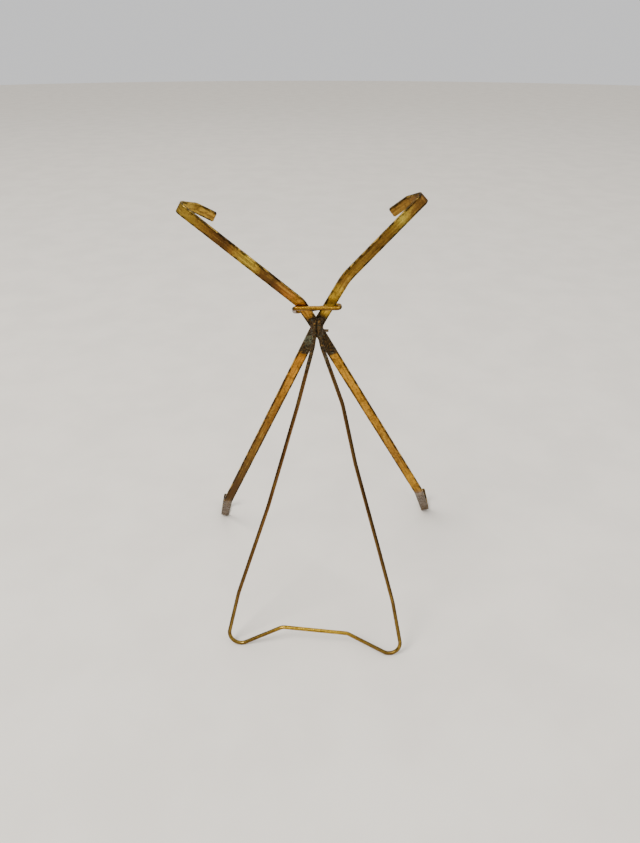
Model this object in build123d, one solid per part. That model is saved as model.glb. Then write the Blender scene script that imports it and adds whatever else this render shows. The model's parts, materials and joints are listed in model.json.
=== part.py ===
from build123d import *
import os
from math import asin, atan2, cos, degrees, pi, radians, sin, sqrt, tan

# Folding easel stand for a display plate, in brass.
# Two flat strips cross on a rivet and end in hooks that hold the rim of a plate.
# A wire leg hangs on a hinge behind the crossing, and a wire ring slips over the
# neck and stops the strips from opening further.
#
# Millimetres, +Z up. The plate stands on the -Y side and the leg is on the +Y side.
# The origin is on the table, under the middle of the stand.
# Left and right are those of someone facing the plate, so right is +X.

# ---- flat strips
strip_width = 4.9
strip_thickness = 1.1
strip_edge_round = 0.3
strip_gap = 0.4              # filled by the washer on the rivet
lean = 10.1                  # of the strips, backward from upright, in degrees
pivot_height = 151.4         # of the rivet, over the table

# Bends in the plane of the strips, as (x, up) from the rivet.
neck_bend = (7.3, 13.0)
upper_right_elbow = (21.7, 26.2)
upper_left_elbow = (-12.6, 24.7)

# Bends of the lower arms, as x from the rivet and rise over the strips' foot.
lower_right_elbow_x = 51.9
lower_right_elbow_rise = 31.9
lower_left_elbow_x = -57.9
lower_left_elbow_rise = 41.1

# Heel of each hook, as (x, up, forward) from the rivet.
upper_right_heel = (61.3, 47.6, 22.7)
upper_left_heel = (-47.5, 52.0, 22.7)
lower_right_heel_x = 59.5
lower_right_heel_forward = 21.8
lower_left_heel_x = -70.3
lower_left_heel_forward = 26.4

crossing_half = 5.0          # of the straight stretch each side of the rivet
crossing_bend_radius = 25.0
rear_heading = 28.5          # of the strips at the crossing, from upright to the right
front_heading = -25.2
neck_bend_radius = 9.0
elbow_radius = 10.0          # where an arm turns outward and forward at once
hook_radius = 2.0            # at the middle of the strip's thickness
heel_round = 0.22            # that a heel's bend takes off the lowest corner
lower_hook_mouth = 8.0       # clear room for a plate's rim, along the hook's floor
upper_hook_mouth = 9.5
upper_hook_closing = 50.0    # of the upper floors, from straight forward toward the rivet
lip_length = 9.5             # of a hook's free end, from the middle of its floor

# ---- rivet and washer
rivet_diameter = 2.2
rivet_head_diameter = 4.0
rivet_tail_height = 0.5      # the head on the leg side
rivet_head_height = 0.8      # the head on the plate side
rivet_tail_round = 0.3
rivet_head_round = 0.48
rivet_fit = 0.04             # radial, in the strips
washer_diameter = 4.6
face_clearance = 0.03        # between faces that slide on each other

# ---- hinge saddle and pin
saddle_thickness = 0.6
saddle_below = 3.6           # from the rivet down to the saddle's lower edge
saddle_corner_round = 0.8
ear_thickness = 0.7
ear_radius = 1.7
ear_side_clearance = 0.12
pin_diameter = 1.3
pin_end_round = 0.26
pin_up = 1.5                 # of the pin over the rivet, along the strips
pin_stub_right = 0.5
pin_stub_left = 2.4
pin_fit = 0.05               # radial, in the leg's eyes
ear_fit = 0.02               # radial, in the saddle's ears
eye_clearance = 0.2          # between the leg's eyes and the rivet's tail

# ---- wire leg
leg_wire = 1.9
eye_gap = 0.2
tail_rise = 3.0              # from the pin to the end of the tail that stops the leg
leg_angle = 18.54            # of the open leg, from upright
leg_twist = 5.3              # of the foot bar about the vertical, in degrees
twist_drop = 0.08            # that the twist lowers the round of the feet
right_side = [(1.9, 7.5), (9.1, 34.7), (23.7, 84.4), (39.4, 131.0)]
left_side = [(-2.3, 7.5), (-11.7, 33.6), (-17.9, 62.0), (-29.6, 104.5), (-36.9, 131.5)]
right_foot = 39.1            # from the middle to the centre of the rounded foot
left_foot = -35.4
foot_radius = 5.6
right_bar_rise = 10.5        # of the middle bar's ends over the feet
left_bar_rise = 9.3
right_bar_end = 17.8
left_bar_end = -14.8
side_bend_radius = 35.0
bar_bend_radius = 5.0
eye_bend_radius = 11.7       # of the sides, just under the eyes

# ---- slip ring
ring_wire = 2.0
ring_end_room = 7.75          # from a strip's edge line to the end of the ring
ring_clearance = 0.3         # between the ring and the faces of the strips
ring_bend_radius = 1.8
ring_joint_half = 2.5        # of the straight stretch that closes the ring
ring_rear_up = 11.5          # height of the ring's bars over the rivet
ring_front_up_left = 10.0
ring_front_up_right = 6.4

overcut = 1.0                # that a drilled hole's tool runs past the metal

# ---- sizes that follow
layer = (strip_thickness + strip_gap) / 2
ring_half_length = ring_end_room + strip_width / 2
rear_face = layer + strip_thickness / 2
saddle_face = rear_face + saddle_thickness
eye_radius = pin_diameter / 2 + pin_fit + leg_wire / 2
eye_x = (leg_wire + eye_gap) / 2
pin_back = saddle_face + rivet_tail_height + eye_clearance + eye_radius + leg_wire / 2
ear_inner = eye_x + leg_wire / 2 + ear_side_clearance
ear_outer = ear_inner + ear_thickness

stand_up = Pos(0, 0, pivot_height) * Rot(-lean, 0, 0)


def on_strips(x, up, back):
    """A point beside the strips: right, up along them, and behind their middle plane."""
    return Vector(x, back, up)


def heel_drop(elbow, heel_x, forward):
    """How far down the strips a lower hook's heel is, so that the hook stands on the table."""
    sideways = abs(heel_x - elbow[0])
    roll = sideways / sqrt(sideways**2 + (pivot_height + elbow[1]) ** 2)
    sole = strip_thickness / 2 + strip_width / 2 * roll - heel_round
    return -(pivot_height - sole + forward * sin(radians(lean))) / cos(radians(lean))


def arm_points(elbow, heel, back, mouth, closing):
    """From the elbow, round the hook to its lip. The floor closes toward the rivet by an angle."""
    x, up, forward = heel
    outward = Vector(x - elbow[0], 0, up - elbow[1]).normalized()
    heel_point = on_strips(x, up, -forward)
    floor_way = Vector(0, -cos(radians(closing)), 0) - outward * sin(radians(closing))
    toe = heel_point + floor_way * (mouth + strip_thickness)
    lip = toe - outward * lip_length
    return [on_strips(elbow[0], elbow[1], back), heel_point, toe, lip]


def half_strip(arm, neck, heading, back):
    """One half of a flat strip, from the rivet to the lip of its hook."""
    pivot = on_strips(0, 0, back)
    along = Vector(sin(radians(heading)), 0, cos(radians(heading)))
    points = [pivot, pivot + along * crossing_half] + neck + arm
    radii = [crossing_bend_radius] + [neck_bend_radius] * len(neck)
    radii += [elbow_radius, hook_radius, hook_radius]
    path = FilletPolyline(*points, radius=radii)
    across = along.cross(Vector(0, 1, 0))
    start = Plane(origin=pivot, x_dir=across, z_dir=along)
    section = start * RectangleRounded(strip_width, strip_thickness, strip_edge_round)
    return sweep(section, path=path)


def bent_strip(upper_arm, neck, lower_arm, heading, back):
    """A flat strip from hook to hook, straight where it crosses the other one."""
    upper = half_strip(upper_arm, neck, heading, back)
    lower = half_strip(lower_arm, [], heading + 180, back)
    hole = rod(rivet_diameter / 2 + rivet_fit, back - strip_thickness, back + strip_thickness)
    return upper + lower - hole


def rod(radius, start, end):
    """A round bar along the rivet's axis, between two distances behind the strips."""
    bar = Cylinder(radius, end - start, align=(Align.CENTER, Align.CENTER, Align.MIN))
    return Pos(0, start, 0) * Rot(-90, 0, 0) * bar


def cross_rod(radius, start_x, end_x):
    """A round bar along the hinge pin's axis."""
    bar = Cylinder(radius, end_x - start_x, align=(Align.CENTER, Align.CENTER, Align.MIN))
    return Pos(start_x, pin_back, pin_up) * Rot(0, 90, 0) * bar


def make_rivet():
    """The rivet's shank, its low head before the strips and its tail on the saddle."""
    shank = rod(rivet_diameter / 2, -rear_face - rivet_head_height / 2, saddle_face)
    head_radius = rivet_head_diameter / 2
    tail = rod(head_radius, saddle_face, saddle_face + rivet_tail_height)
    head_start = -rear_face - face_clearance
    head = rod(head_radius, head_start - rivet_head_height, head_start)
    front_rim = head.edges().filter_by(GeomType.CIRCLE).sort_by(Axis.Y)[0]
    head = fillet(front_rim, rivet_head_round)
    rear_rim = tail.edges().filter_by(GeomType.CIRCLE).sort_by(Axis.Y)[-1]
    tail = fillet(rear_rim, rivet_tail_round)
    return shank + tail + head


def make_washer():
    """The thin washer between the strips, fast to the rear one."""
    disc = rod(washer_diameter / 2, -strip_gap / 2 + face_clearance, strip_gap / 2)
    return disc - rod(rivet_diameter / 2 + rivet_fit, -strip_gap, strip_gap)


def make_saddle():
    """A folded bracket: a base under the rivet's tail and two ears that carry the pin."""
    base_top = pin_up + tail_rise + leg_wire / 2
    base_height = base_top + saddle_below
    base_mid = (base_top - saddle_below) / 2
    base = Pos(0, rear_face + saddle_thickness / 2, base_mid) * Box(
        2 * ear_outer, saddle_thickness, base_height
    )
    base = fillet(base.edges().filter_by(Axis.Y), saddle_corner_round)
    bracket = base - rod(rivet_diameter / 2 + rivet_fit, 0, saddle_face + overcut)
    for side in (-1, 1):
        ear_mid = side * (ear_inner + ear_thickness / 2)
        web = Box(ear_thickness, pin_back - rear_face, 2 * ear_radius)
        web = Pos(ear_mid, (pin_back + rear_face) / 2, pin_up) * web
        rounded = cross_rod(ear_radius, ear_mid - ear_thickness / 2, ear_mid + ear_thickness / 2)
        bracket += web + rounded
    bore_end = ear_outer + overcut
    return bracket - cross_rod(pin_diameter / 2 + ear_fit, -bore_end, bore_end)


def make_pin():
    """The hinge pin, with one end left long."""
    pin = cross_rod(pin_diameter / 2, -ear_outer - pin_stub_left, ear_outer + pin_stub_right)
    return fillet(pin.edges().filter_by(GeomType.CIRCLE), pin_end_round)


def make_ring():
    """A slightly twisted oval of wire round both strips at the neck, closed by a butt joint."""
    back = rear_face + ring_clearance + ring_wire / 2
    corners = [
        on_strips(ring_joint_half, ring_rear_up, back),
        on_strips(ring_half_length, ring_rear_up, back),
        on_strips(ring_half_length, ring_front_up_right, -back),
        on_strips(-ring_half_length, ring_front_up_left, -back),
        on_strips(-ring_half_length, ring_rear_up, back),
        on_strips(-ring_joint_half, ring_rear_up, back),
    ]
    path = FilletPolyline(*corners, radius=ring_bend_radius)
    section = Plane(origin=path @ 0, z_dir=path % 0) * Circle(ring_wire / 2)
    joint_bar = Rot(0, 90, 0) * Cylinder(ring_wire / 2, 2 * ring_joint_half)
    return sweep(section, path=path) + Pos(0, back, ring_rear_up) * joint_bar


def foot_corner(side_point, bar_end, foot_x):
    """Where the side and the foot's rise would meet, if the foot had no round."""
    centre = (foot_x, leg_reach - foot_radius)

    def tangent_angle(point, turn):
        dx = centre[0] - point[0]
        dy = centre[1] - point[1]
        return atan2(dy, dx) + turn * asin(foot_radius / sqrt(dx * dx + dy * dy))

    outside = -1 if foot_x > 0 else 1
    side_angle = tangent_angle(side_point, outside)
    bar_angle = tangent_angle(bar_end, -outside)
    gap_x = bar_end[0] - side_point[0]
    gap_y = bar_end[1] - side_point[1]
    across = cos(side_angle) * sin(bar_angle) - sin(side_angle) * cos(bar_angle)
    run = (gap_x * sin(bar_angle) - gap_y * cos(bar_angle)) / across
    return (side_point[0] + run * cos(side_angle), side_point[1] + run * sin(side_angle))


pin_place = stand_up * Pos(0, pin_back, pin_up)
pin_centre = pin_place.position
leg_reach = (pin_centre.Z - leg_wire / 2 - twist_drop) / cos(radians(leg_angle))


def on_leg(x, down):
    """A point of the leg: to the right, and down the leg from the pin."""
    swing = x * tan(radians(leg_twist)) * down / leg_reach
    back = down * sin(radians(leg_angle)) - swing
    return pin_centre + Vector(x, back, -down * cos(radians(leg_angle)))


def make_leg():
    """One wire, from eye to eye, down to two feet with a raised bar between them."""
    right_end = (right_bar_end, leg_reach - right_bar_rise)
    left_end = (left_bar_end, leg_reach - left_bar_rise)
    right_corner = foot_corner(right_side[-1], right_end, right_foot)
    left_corner = foot_corner(left_side[-1], left_end, left_foot)
    route = [(eye_x, eye_radius)] + right_side + [right_corner, right_end]
    route += [left_end, left_corner] + left_side[::-1] + [(-eye_x, eye_radius)]
    right_radii = [eye_bend_radius] + [side_bend_radius] * (len(right_side) - 1)
    left_radii = [side_bend_radius] * (len(left_side) - 1) + [eye_bend_radius]
    foot_radii = [foot_radius, bar_bend_radius, bar_bend_radius, foot_radius]
    radii = right_radii + foot_radii + left_radii
    path = FilletPolyline(*[on_leg(x, down) for x, down in route], radius=radii)
    section = Plane(origin=path @ 0, z_dir=path % 0) * Circle(leg_wire / 2)
    leg = sweep(section, path=path)
    tip_forward = pin_back - saddle_face - leg_wire / 2 - face_clearance
    tail_length = sqrt(tip_forward**2 + tail_rise**2)
    tail_angle = degrees(atan2(tail_rise, -tip_forward))
    for x in (-eye_x, eye_x):
        eye = Rot(0, 90, 0) * Torus(eye_radius, leg_wire / 2)
        stub = Pos(0, eye_radius, 0) * Rot(-90, 0, 0) * Cylinder(
            leg_wire / 2, tail_length - eye_radius, align=(Align.CENTER, Align.CENTER, Align.MIN)
        )
        end = Pos(0, tail_length, 0) * Sphere(leg_wire / 2)
        tail = Rot(tail_angle, 0, 0) * (stub + end)
        leg += pin_place * Pos(x, 0, 0) * (eye + tail)
    bore = cross_rod(pin_diameter / 2 + pin_fit, -ear_inner, ear_inner)
    return leg - stand_up * bore


upper_hook = (upper_hook_mouth, upper_hook_closing)
rear_upper = arm_points(upper_right_elbow, upper_right_heel, layer, *upper_hook)
front_upper = arm_points(upper_left_elbow, upper_left_heel, -layer, *upper_hook)
lower_left_elbow = (lower_left_elbow_x, lower_left_elbow_rise - pivot_height)
lower_right_elbow = (lower_right_elbow_x, lower_right_elbow_rise - pivot_height)
lower_left_heel = (
    lower_left_heel_x,
    heel_drop(lower_left_elbow, lower_left_heel_x, lower_left_heel_forward),
    lower_left_heel_forward,
)
lower_right_heel = (
    lower_right_heel_x,
    heel_drop(lower_right_elbow, lower_right_heel_x, lower_right_heel_forward),
    lower_right_heel_forward,
)
rear_lower = arm_points(lower_left_elbow, lower_left_heel, layer, lower_hook_mouth, 0)
front_lower = arm_points(lower_right_elbow, lower_right_heel, -layer, lower_hook_mouth, 0)
neck_point = on_strips(neck_bend[0], neck_bend[1], layer)

nodes = {
    "rear_strip": stand_up * bent_strip(rear_upper, [neck_point], rear_lower, rear_heading, layer),
    "front_strip": stand_up * bent_strip(front_upper, [], front_lower, front_heading, -layer),
    "pivot_rivet": stand_up * make_rivet(),
    "spacer_washer": stand_up * make_washer(),
    "hinge_saddle": stand_up * make_saddle(),
    "hinge_pin": stand_up * make_pin(),
    "slip_ring": stand_up * make_ring(),
    "easel_leg": make_leg(),
}

whole = Compound(children=[Part(node.wrapped) for node in nodes.values()]).bounding_box()
middle = Pos(-(whole.min.X + whole.max.X) / 2, -(whole.min.Y + whole.max.Y) / 2, 0)

os.makedirs("parts", exist_ok=True)
for name, node in nodes.items():
    export_step(middle * node, f"parts/{name}.step")

rivet_at = (middle * stand_up).position
pin_at = (middle * pin_place).position
print("rivet", [round(v, 3) for v in rivet_at])
print("hinge pin", [round(v, 3) for v in pin_at])
print("leg reach", round(leg_reach, 2))
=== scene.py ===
import json
from math import asin, atan2, ceil, cos, pi, radians, sin, sqrt, tan

import bpy
from mathutils import Matrix, Vector, noise


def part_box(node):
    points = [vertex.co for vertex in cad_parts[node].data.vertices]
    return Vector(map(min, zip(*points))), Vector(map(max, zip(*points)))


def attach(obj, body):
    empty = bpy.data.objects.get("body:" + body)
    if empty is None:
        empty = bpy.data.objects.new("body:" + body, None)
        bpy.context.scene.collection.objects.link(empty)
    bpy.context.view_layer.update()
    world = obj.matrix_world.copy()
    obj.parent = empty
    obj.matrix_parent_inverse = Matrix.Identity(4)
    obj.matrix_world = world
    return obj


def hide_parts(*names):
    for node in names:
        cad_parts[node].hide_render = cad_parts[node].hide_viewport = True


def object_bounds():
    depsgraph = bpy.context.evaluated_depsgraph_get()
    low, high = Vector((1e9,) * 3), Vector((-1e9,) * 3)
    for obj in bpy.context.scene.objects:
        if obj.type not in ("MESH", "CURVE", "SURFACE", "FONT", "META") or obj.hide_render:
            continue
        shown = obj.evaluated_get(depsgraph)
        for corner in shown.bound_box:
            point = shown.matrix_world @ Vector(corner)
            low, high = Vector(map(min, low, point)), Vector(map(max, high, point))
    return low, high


bl_info = {
    "name": "Folding plate easel",
    "version": (1, 0, 0),
    "blender": (4, 5, 0),
    "location": "View3D > Sidebar > Plate Easel",
    "description": "Builds a brass folding easel for a display plate, piece by piece",
    "category": "Object",
}

# Metres, +Z up. The plate stands on the -Y side and the wire leg is on the +Y side.
# Places on the strips are (x, back, up) from the rivet: to the right, toward the leg,
# and along the lean of the strips.

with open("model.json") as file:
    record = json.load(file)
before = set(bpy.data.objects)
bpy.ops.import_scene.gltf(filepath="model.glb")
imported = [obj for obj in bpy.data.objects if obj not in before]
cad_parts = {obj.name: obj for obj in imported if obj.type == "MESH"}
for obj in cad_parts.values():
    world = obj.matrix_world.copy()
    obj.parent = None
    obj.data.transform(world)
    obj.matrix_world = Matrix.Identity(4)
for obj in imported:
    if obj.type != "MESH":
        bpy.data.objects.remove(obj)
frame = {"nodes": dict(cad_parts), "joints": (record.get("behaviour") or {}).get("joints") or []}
cad_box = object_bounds()

MM = 0.001
JOINTS = {joint["name"]: joint for joint in frame["joints"]}
RIVET = Vector(JOINTS["scissor"]["pos_m"])
PIN = Vector(JOINTS["leg_hinge"]["pos_m"])
RIGHT = Vector((1, 0, 0))
BACK = Vector(JOINTS["scissor"]["axis"])
UP = Vector(JOINTS["ring_slide"]["axis"])
LEAN = asin(-BACK.z)

# Bends of the strips, in millimetres from the rivet. Elbows are (x, up), upper heels are
# (x, up, forward) and lower heels are (x, forward), since the floor gives their height.
NECK_BEND = (7.3, 13.0)
UPPER_RIGHT_ELBOW = (21.7, 26.2)
UPPER_LEFT_ELBOW = (-12.6, 24.7)
LOWER_RIGHT_ELBOW = (51.9, -119.5)
LOWER_LEFT_ELBOW = (-57.9, -110.3)
UPPER_RIGHT_HEEL = (61.3, 47.6, 22.7)
UPPER_LEFT_HEEL = (-47.5, 52.0, 22.7)
LOWER_RIGHT_HEEL = (59.5, 21.8)
LOWER_LEFT_HEEL = (-70.3, 26.4)
# Headings of the strips at the rivet and the closing of the upper hooks, in degrees.
REAR_HEADING = 28.5
FRONT_HEADING = -25.2
UPPER_HOOK_CLOSING = 50.0
# The straight run each side of the rivet, and what a heel's bend takes off its lowest corner.
CROSSING_HALF = 5.0
HEEL_ROUND = 0.22

# Bend radii of the strips, in millimetres.
CROSSING_BEND = 25.0
NECK_BEND_RADIUS = 9.0
ELBOW_BEND = 10.0
HOOK_BEND = 2.0

# Route of the wire leg, in millimetres: (x, distance down the leg from the pin). Its angle
# from upright and the twist of its foot bar are in degrees.
RIGHT_SIDE = [(1.9, 7.5), (9.1, 34.7), (23.7, 84.4), (39.4, 131.0)]
LEFT_SIDE = [(-2.3, 7.5), (-11.7, 33.6), (-17.9, 62.0), (-29.6, 104.5), (-36.9, 131.5)]
RIGHT_FOOT = 39.1
LEFT_FOOT = -35.4
FOOT_BEND = 5.6
RIGHT_BAR_RISE = 10.5
LEFT_BAR_RISE = 9.3
RIGHT_BAR_END = 17.8
LEFT_BAR_END = -14.8
LEG_ANGLE = 18.54
SIDE_BEND = 35.0
EYE_BEND = 11.7
BAR_BEND = 5.0
LEG_TWIST = 5.3
TWIST_DROP = 0.08
EYE_RADIUS = 1.65
EYE_X = 1.05
TAIL_FORWARD = 2.32
TAIL_RISE = 3.0

# Route of the slip ring, in millimetres: (x, back, up) from the rivet.
RING_HALF = 10.2
RING_BACK = 2.6
RING_REAR_UP = 11.5
RING_LEFT_UP = 10.0
RING_RIGHT_UP = 6.4
RING_BEND = 1.8

# Fineness of the swept and turned pieces: steps in millimetres, and counts round a section.
STRIP_STEP = 0.6
LEG_STEP = 0.7
RING_STEP = 0.4
EDGE_CUTS = 4
FACE_CUTS = 12
LEG_SIDES = 24
RING_SIDES = 32
EYE_CUTS = 28
TAIL_CUTS = 12
TURNED_SIDES = 56

# Outlines of the rivet and washer, in millimetres along the rivet from the gap between the
# strips. The head is on the plate's side and the tail on the leg's.
AXIS_FLAT = 0.02
HEAD_CROWN = -2.13
HEAD_SEAT = -1.33
HEAD_ROUND = 0.48
HEAD_ROUND_AT = -1.81
TAIL_SEAT = 1.88
TAIL_ROUND = 0.3
TAIL_ROUND_AT = 2.1
TAIL_CROWN = 2.34
WASHER_BORE = 1.14
WASHER_RADIUS = 2.3
WASHER_FRONT = -0.17
WASHER_REAR = 0.2
PIN_END_ROUND = 0.24
WIRE_END_ROUND = 0.9

# Where tarnish lies, in millimetres from the rivet: (full, gone) or (begins, full).
UPPER_TARNISH = (3.6, 8.6)
LOWER_TARNISH = (15.4, 17.0)
END_TARNISH = (126.0, 133.0)
END_TARNISH_DEPTH = 0.47
LEG_TARNISH = (15.0, 18.0)
GREEN_PLACE = (3.4, 1.5, -6.4)
GREEN_REACH = (1.0, 5.0)
# EDGE_BAND is how far the dark band along the strips' edges reaches in, partly dirt and partly painted
# shade.
EDGE_BAND = 1.2

# Colours along each arm, as (millimetres from the rivet, sRGB colour).
UPPER_RIGHT_TONES = [
    (0, (60, 46, 28)), (5, (74, 54, 30)), (8, (168, 118, 42)), (17, (178, 126, 44)),
    (21, (160, 104, 40)), (26, (118, 74, 34)), (31, (66, 44, 24)), (36, (104, 72, 34)),
    (40, (176, 142, 52)), (45, (206, 178, 64)), (49, (192, 158, 60)), (54, (150, 106, 46)),
    (58, (92, 62, 30)), (63, (112, 76, 36)), (69, (150, 112, 44)), (77, (168, 136, 50)),
    (84, (186, 156, 58)), (102, (158, 122, 52)),
]
UPPER_LEFT_TONES = [
    (0, (60, 48, 28)), (5, (74, 58, 30)), (8, (188, 150, 44)), (16, (184, 150, 44)),
    (22, (164, 132, 42)), (26, (128, 94, 38)), (31, (156, 118, 44)), (44, (140, 104, 42)),
    (54, (146, 108, 42)), (59, (178, 144, 50)), (63, (214, 188, 72)), (66, (196, 162, 62)),
    (69, (134, 96, 42)), (75, (112, 78, 36)), (98, (146, 110, 46)),
]
LOWER_RIGHT_TONES = [
    (0, (50, 38, 24)), (15, (40, 30, 20)), (17, (190, 128, 40)), (30, (196, 136, 44)),
    (42, (172, 120, 42)), (56, (140, 96, 38)), (72, (134, 94, 38)), (90, (112, 80, 34)),
    (108, (84, 60, 30)), (120, (74, 54, 30)), (128, (70, 52, 30)), (134, (88, 68, 42)),
    (152, (80, 60, 34)), (176, (104, 80, 42)),
]
LOWER_LEFT_TONES = [
    (0, (50, 38, 24)), (15, (42, 32, 20)), (17, (186, 134, 42)), (30, (198, 144, 44)),
    (60, (184, 132, 42)), (78, (180, 130, 42)), (86, (150, 104, 38)), (102, (160, 114, 38)),
    (110, (196, 146, 42)), (120, (190, 140, 42)), (127, (104, 76, 38)), (134, (82, 62, 38)),
    (150, (80, 60, 34)), (178, (104, 80, 42)),
]
LEG_RIGHT_TONES = [
    (0, (58, 50, 36)), (16, (54, 44, 30)), (19, (112, 80, 46)), (40, (116, 80, 44)),
    (60, (104, 72, 40)), (90, (112, 78, 42)), (112, (98, 70, 38)), (136, (106, 80, 42)),
    (150, (134, 110, 54)), (160, (138, 114, 50)), (172, (116, 92, 40)), (184, (136, 108, 42)),
    (190, (190, 154, 48)), (200, (208, 170, 54)),
]
LEG_LEFT_TONES = [
    (0, (60, 50, 34)), (18, (52, 40, 28)), (21, (84, 62, 38)), (60, (96, 70, 40)),
    (84, (76, 54, 32)), (110, (100, 74, 40)), (138, (120, 94, 48)), (152, (146, 120, 58)),
    (160, (142, 116, 50)), (174, (112, 88, 40)), (184, (136, 106, 42)), (192, (184, 148, 48)),
    (200, (208, 170, 54)),
]
RING_TONES = [(0, (186, 136, 40)), (14, (198, 150, 46)), (30, (206, 158, 52)), (60, (186, 136, 40))]
EYE_TONE = (56, 44, 28)
CRUST_BROWN = (76, 56, 28)
CRUST_GOLD = (150, 110, 48)
RUBBED_HIGH = (156, 116, 52)

# The stage, in metres.
FLOOR_RINGS = [0.0, 0.15, 0.4, 1.0, 2.2, 4.5]
FLOOR_SIDES = 64
LIT_PLACE = Vector((0, 0, 0.09))
LIGHTS = [
    ("key_light", Vector((0.9, 0.75, 1.5)), 0.75, 34.0, (1.0, 0.965, 0.91)),
    ("fill_light", Vector((-1.3, 0.8, 1.0)), 1.1, 9.0, (0.95, 0.975, 1.0)),
    ("back_light", Vector((0.2, -1.6, 1.5)), 1.2, 3.0, (1.0, 0.99, 0.97)),
]
DIM_SIDES = (0.2, 0.17, 0.14)
PALE_OVERHEAD = (1.0, 0.98, 0.95)
BACKDROP = (0.82, 0.82, 0.83)
CAMERA_LENS = 27.2
CAMERA_SENSOR = 36.0
CAMERA_PLACE = RIVET + Vector((0.535, 271.15, 114.555)) * MM
CAMERA_LOOK = Vector((-0.006144, -0.854063, -0.520133)).normalized()
CAMERA_UP = Vector((-0.002715, -0.520127, 0.854085)).normalized()


# ---------------------------------------------------------------- sizes and colours


def length(name, description, millimetres):
    """A length that can be set in the panel."""
    return bpy.props.FloatProperty(
        name=name, description=description, default=millimetres * MM, min=0.0,
        unit="LENGTH", precision=5,
    )


def colour(name, description, srgb):
    """A colour that can be set in the panel."""
    return bpy.props.FloatVectorProperty(
        name=name, description=description, default=linear(srgb), min=0.0, max=1.0,
        size=3, subtype="COLOR",
    )


def linear(srgb):
    """An sRGB colour of 0 to 255 as linear light."""
    steps = [value / 255 for value in srgb]
    return tuple(s / 12.92 if s <= 0.04045 else ((s + 0.055) / 1.055) ** 2.4 for s in steps)


class EaselSizes(bpy.types.PropertyGroup):
    """Sizes of the easel's metal."""

    strip_width: length("Strip width", "Width of the flat strips", 4.9)
    strip_thickness: length("Strip thickness", "Thickness of the flat strips", 1.1)
    strip_edge: length("Strip edge round", "Radius of the strips' worn edges", 0.3)
    strip_gap: length("Strip gap", "Gap between the strips at the rivet", 0.4)
    lower_mouth: length("Lower hook mouth", "Clear room along a lower hook's floor", 8.0)
    upper_mouth: length("Upper hook mouth", "Clear room along an upper hook's floor", 9.5)
    lip_length: length("Lip length", "Length of a hook's free end", 9.5)
    edge_wander: length("Edge wander", "How far a cut edge strays from straight", 0.05)
    face_dents: length("Face dents", "Depth of the shallow dents in the strips", 0.035)
    leg_wire: length("Leg wire", "Diameter of the leg's wire", 1.9)
    ring_wire: length("Ring wire", "Diameter of the slip ring's wire", 2.0)
    wire_lumps: length("Wire lumps", "Unevenness of the drawn wire", 0.03)
    rivet_diameter: length("Rivet diameter", "Diameter of the rivet's shank", 2.2)
    head_diameter: length("Rivet head", "Diameter of the rivet's head and tail", 4.0)
    pin_diameter: length("Pin diameter", "Diameter of the hinge pin", 1.3)
    grain_size: length("Crust grain", "Largest grain of the dry crust", 0.3)


class EaselColours(bpy.types.PropertyGroup):
    """Colours of the brass, its tarnish and the stage."""

    # Brown also paints shade on the wires' undersides, and black paints shade along the strips' edges
    # and on the wires' outer sides.
    brown: colour("Brown tarnish", "Thin brown tarnish on the brass", (86, 58, 26))
    black: colour("Black tarnish", "Thick tarnish at edges and in pits", (28, 23, 13))
    verdigris: colour("Verdigris", "Grey-green crust at the crossing", (112, 122, 100))
    polished: colour("Rubbed brass", "Brass where handling keeps it bright", (236, 196, 92))
    floor: colour("Floor", "Plain floor of the stage", (236, 231, 223))


# ---------------------------------------------------------------- paths and meshes


def beside(x, back, up):
    """A place beside the strips, given in millimetres from the rivet."""
    return RIVET + (RIGHT * x + BACK * back + UP * up) * MM


def rounded_path(corners, bends, step, closed=False):
    """Points along straight runs whose corners are rounded, all in metres."""
    count = len(corners)
    turns = range(count) if closed else range(1, count - 1)
    points = [] if closed else [corners[0]]
    for place, turn in enumerate(turns):
        corner = corners[turn]
        before = (corners[turn - 1] - corner).normalized()
        after = (corners[(turn + 1) % count] - corner).normalized()
        opening = before.angle(after)
        bend = bends[place]
        if pi - opening < radians(0.05):
            points.append(corner)
            continue
        setback = bend / tan(opening / 2)
        centre = corner + (before + after).normalized() * (bend / sin(opening / 2))
        start = corner + before * setback - centre
        turned = pi - opening
        axis = start.cross(corner + after * setback - centre).normalized()
        pieces = max(4, ceil(turned / radians(7)), ceil(turned * bend / step))
        for piece in range(pieces + 1):
            turn_by = Matrix.Rotation(turned * piece / pieces, 3, axis)
            points.append(centre + turn_by @ start)
    if not closed:
        points.append(corners[-1])
    return divided(points, step, closed)


def divided(points, step, closed):
    """The same path with no gap between points longer than the step."""
    result = []
    pairs = list(zip(points, points[1:]))
    if closed:
        pairs.append((points[-1], points[0]))
    for start, end in pairs:
        gap = (end - start).length
        if gap < step / 20:
            continue
        cuts = max(1, ceil(gap / step - 0.01))
        result += [start.lerp(end, cut / cuts) for cut in range(cuts)]
    if not closed:
        result.append(points[-1])
    return result


def carried(points, across):
    """The across direction carried along a path without rolling, one for each point."""
    tangents = []
    for index in range(len(points)):
        ahead = points[min(index + 1, len(points) - 1)]
        behind = points[max(index - 1, 0)]
        tangents.append((ahead - behind).normalized())
    result = [across.copy()]
    for before, after in zip(tangents, tangents[1:]):
        turn = before.rotation_difference(after)
        result.append((turn @ result[-1]).normalized())
    return tangents, result


def tone_at(tones, along):
    """The colour at a distance along a table of tones."""
    if along <= tones[0][0]:
        return Vector(linear(tones[0][1]))
    for (near, first), (far, second) in zip(tones, tones[1:]):
        if along <= far:
            share = (along - near) / (far - near)
            return Vector(linear(first)).lerp(Vector(linear(second)), share)
    return Vector(linear(tones[-1][1]))


def smooth(value, low, high):
    """0 below low, 1 above high, and a smooth rise between them."""
    share = min(1.0, max(0.0, (value - low) / (high - low)))
    return share * share * (3 - 2 * share)


def wander(point, grain):
    """Smooth noise of about -1 to 1 at a place, for features of a size in millimetres."""
    return noise.noise(point / (grain * MM))


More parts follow.
